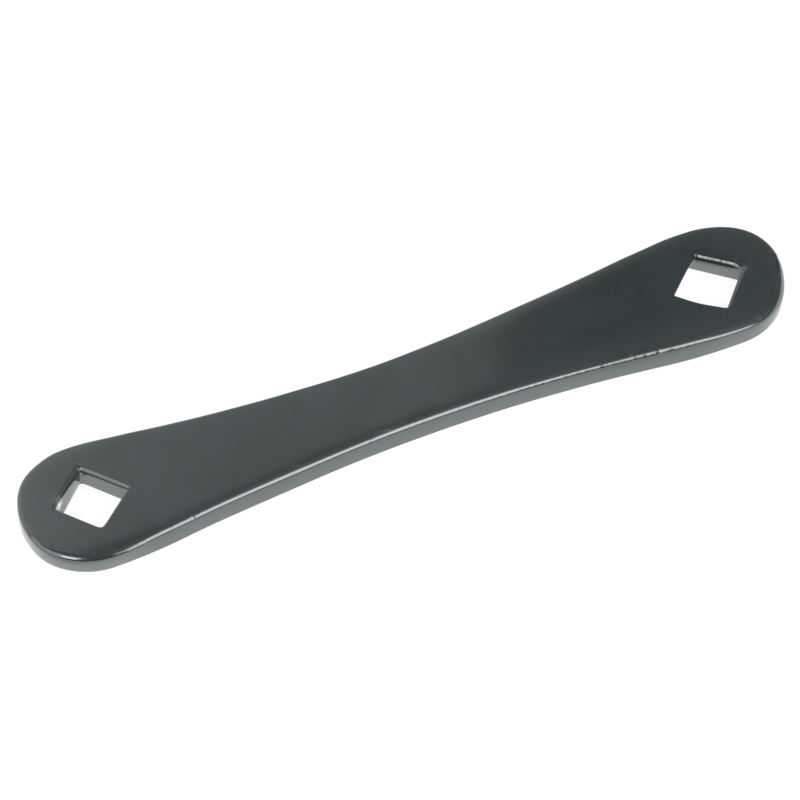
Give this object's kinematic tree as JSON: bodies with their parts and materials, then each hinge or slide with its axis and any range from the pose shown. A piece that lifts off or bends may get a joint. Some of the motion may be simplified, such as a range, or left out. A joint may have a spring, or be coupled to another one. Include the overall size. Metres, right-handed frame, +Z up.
{
  "type": "tank wrench",
  "caption": "Flat steel tank wrench, drawn in at the waist, with a square socket through each rounded end for turning the valve stem of a small gas cylinder.",
  "frame": {"origin": "middle of the bar's length and width, on the underside that it rests on", "axes": "+X along the bar towards the right socket, +Y across the bar, +Z up through its thickness"},
  "size_m": [0.146, 0.0242, 0.0048],
  "materials": {
    "blackened_steel": "dark grey satin coat over steel, rubbed pale along the rounded rim and the socket mouths"
  },
  "bodies": {
    "root": {"wrench_bar": "blackened_steel"}
  },
  "joints": []
}
